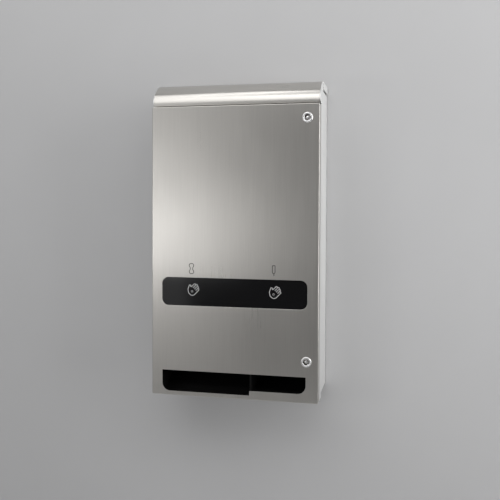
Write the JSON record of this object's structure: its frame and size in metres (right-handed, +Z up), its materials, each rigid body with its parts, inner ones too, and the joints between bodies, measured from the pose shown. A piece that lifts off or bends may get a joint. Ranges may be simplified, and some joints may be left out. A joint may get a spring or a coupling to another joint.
{
  "type": "tampon and pad dispenser",
  "caption": "Wall-mounted steel dispenser: locked door with a long black hand-sensor window over a stepped delivery mouth, rotors that drop pads and tampons, and a rolled hood.",
  "frame": {"origin": "centre of the flat back that goes against the wall, midway up the cabinet's height", "axes": "+X to the viewer's right, +Y into the wall, +Z up; the door faces -Y"},
  "size_m": [0.3666, 0.1385, 0.67],
  "materials": {
    "brushed_stainless": "fine vertical brush",
    "galvanised_steel": "galvanised",
    "lock_chrome": "polished",
    "zinc_steel": "bright zinc",
    "bronze": "sintered bronze",
    "black_window": "high gloss",
    "black_plastic": "satin",
    "white_plastic": "moulded",
    "grey_plastic": "moulded",
    "board_green": "solder mask",
    "cell_sleeve": "printed sleeve",
    "button_red": "satin"
  },
  "bodies": {
    "cabinet": {"case_shell": "brushed_stainless", "case_back": "brushed_stainless", "case_floor": "brushed_stainless", "hood": "brushed_stainless", "hinge_leaf_case": "galvanised_steel", "hinge_pin": "zinc_steel", "delivery_tray": "black_plastic", "pad_magazine": "galvanised_steel", "tampon_magazine": "galvanised_steel", "pad_bracket": "galvanised_steel", "pad_bush_left": "bronze", "pad_bush_right": "bronze", "pad_motor": "zinc_steel", "tampon_bracket": "galvanised_steel", "tampon_bush_left": "bronze", "tampon_bush_right": "bronze", "tampon_motor": "zinc_steel", "motor_bracket": "galvanised_steel", "sensor_rail": "galvanised_steel", "rail_screw_left": "zinc_steel", "rail_screw_right": "zinc_steel", "pad_sensor": "black_plastic", "tampon_sensor": "black_plastic", "battery_case": "grey_plastic", "battery_cover_pin": "zinc_steel", "battery_cell_1": "cell_sleeve", "battery_cell_2": "cell_sleeve", "battery_cell_3": "cell_sleeve", "battery_cell_4": "cell_sleeve", "control_board": "board_green", "motor_cable": "black_plastic", "sensor_cable": "black_plastic"},
    "door": {"door_panel": "brushed_stainless", "hinge_leaf_door": "galvanised_steel", "window_lens": "black_window", "window_retainer": "galvanised_steel", "window_nut_1": "zinc_steel", "window_nut_2": "zinc_steel", "window_nut_3": "zinc_steel", "window_nut_4": "zinc_steel", "bottom_lock_housing": "lock_chrome", "bottom_lock_nut": "zinc_steel", "top_lock_housing": "lock_chrome", "top_lock_nut": "zinc_steel"},
    "bottom_lock_core": {"bottom_lock_plug": "lock_chrome", "bottom_lock_cam": "zinc_steel", "bottom_lock_screw": "zinc_steel"},
    "top_lock_core": {"top_lock_plug": "lock_chrome", "top_lock_cam": "zinc_steel", "top_lock_screw": "zinc_steel"},
    "pad_drum": {"pad_rotor": "white_plastic", "pad_shaft": "zinc_steel", "pad_gear": "white_plastic"},
    "pad_drive_pinion": {"pad_pinion": "zinc_steel"},
    "tampon_drum": {"tampon_rotor": "white_plastic", "tampon_shaft": "zinc_steel", "tampon_gear": "white_plastic"},
    "tampon_drive_pinion": {"tampon_pinion": "zinc_steel"},
    "cell_cover": {"battery_cover": "grey_plastic"},
    "service_button": {"test_button": "button_red"}
  },
  "joints": [
    {"name": "door_swing", "type": "hinge", "parent": "cabinet", "child": "door", "pos_m": [-0.1827, -0.1097, 0], "axis": [0, 0, -1], "range_deg": [0, 150]},
    {"name": "bottom_lock_turn", "type": "hinge", "parent": "door", "child": "bottom_lock_core", "pos_m": [0.155, -0.12, -0.249], "axis": [0, -1, 0], "range_deg": [0, 90]},
    {"name": "top_lock_turn", "type": "hinge", "parent": "door", "child": "top_lock_core", "pos_m": [0.155, -0.12, 0.254], "axis": [0, -1, 0], "range_deg": [0, 90]},
    {"name": "pad_rotor_turn", "type": "hinge", "parent": "cabinet", "child": "pad_drum", "pos_m": [-0.092, -0.06, -0.213], "axis": [1, 0, 0], "continuous": true},
    {"name": "pad_pinion_turn", "type": "hinge", "parent": "cabinet", "child": "pad_drive_pinion", "pos_m": [-0.032, -0.06, -0.1815], "axis": [1, 0, 0], "continuous": true},
    {"name": "tampon_rotor_turn", "type": "hinge", "parent": "cabinet", "child": "tampon_drum", "pos_m": [0.096, -0.072, -0.225], "axis": [1, 0, 0], "continuous": true},
    {"name": "tampon_pinion_turn", "type": "hinge", "parent": "cabinet", "child": "tampon_drive_pinion", "pos_m": [0.031, -0.0405, -0.225], "axis": [1, 0, 0], "continuous": true},
    {"name": "battery_cover_swing", "type": "hinge", "parent": "cabinet", "child": "cell_cover", "pos_m": [-0.0228, -0.0438, -0.018], "axis": [0, 0, -1], "range_deg": [0, 90]},
    {"name": "test_button_press", "type": "slide", "parent": "cabinet", "child": "service_button", "axis": [0, 1, 0], "range_m": [0, 0.0015], "stiffness_N_per_m": 400}
  ],
  "couplings": [
    {"joint": "pad_pinion_turn", "follows": "pad_rotor_turn", "ratio": -2.5},
    {"joint": "tampon_pinion_turn", "follows": "tampon_rotor_turn", "ratio": -2.5}
  ]
}
